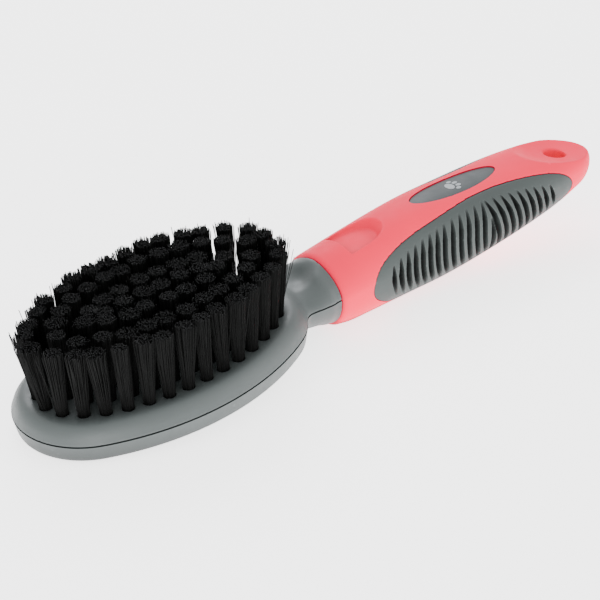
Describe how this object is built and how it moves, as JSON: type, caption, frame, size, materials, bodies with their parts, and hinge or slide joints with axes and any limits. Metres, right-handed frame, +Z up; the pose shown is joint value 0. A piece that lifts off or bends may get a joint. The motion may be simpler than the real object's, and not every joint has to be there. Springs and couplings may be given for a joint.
{
  "type": "bristle brush",
  "caption": "Oval-headed bristle grooming brush with dense black nylon tufts, a short neck, and a coral soft handle with ribbed side grips, an oval badge, a thumb recess and a hang hole.",
  "frame": {"origin": "middle of the brush's length, on the plane under its lowest point, with the brush lying on its back", "axes": "+X along the brush from the head towards the handle's end, +Z up, the way the bristles point, +Y across the brush"},
  "size_m": [0.23, 0.061, 0.0436],
  "materials": {
    "abs_grey": "satin moulded ABS, light grey",
    "tpe_coral": "matte soft-touch elastomer, coral pink",
    "tpe_grey": "matte ribbed elastomer, mid grey",
    "badge_grey": "satin, mid grey",
    "badge_ink": "raised light grey ink",
    "nylon_black": "black nylon filament",
    "steel_wire": "flattened steel wire"
  },
  "bodies": {
    "root": {"front_shell": "abs_grey", "rear_shell": "abs_grey", "handle_sleeve": "tpe_coral", "grip_right": "tpe_grey", "grip_left": "tpe_grey", "badge_plate": "badge_grey", "badge_print": "badge_ink", "tufts_outer_ring": "nylon_black", "anchors_outer_ring": "steel_wire", "tufts_second_ring": "nylon_black", "anchors_second_ring": "steel_wire", "tufts_third_ring": "nylon_black", "anchors_third_ring": "steel_wire", "tufts_centre_row": "nylon_black", "anchors_centre_row": "steel_wire"}
  },
  "joints": []
}
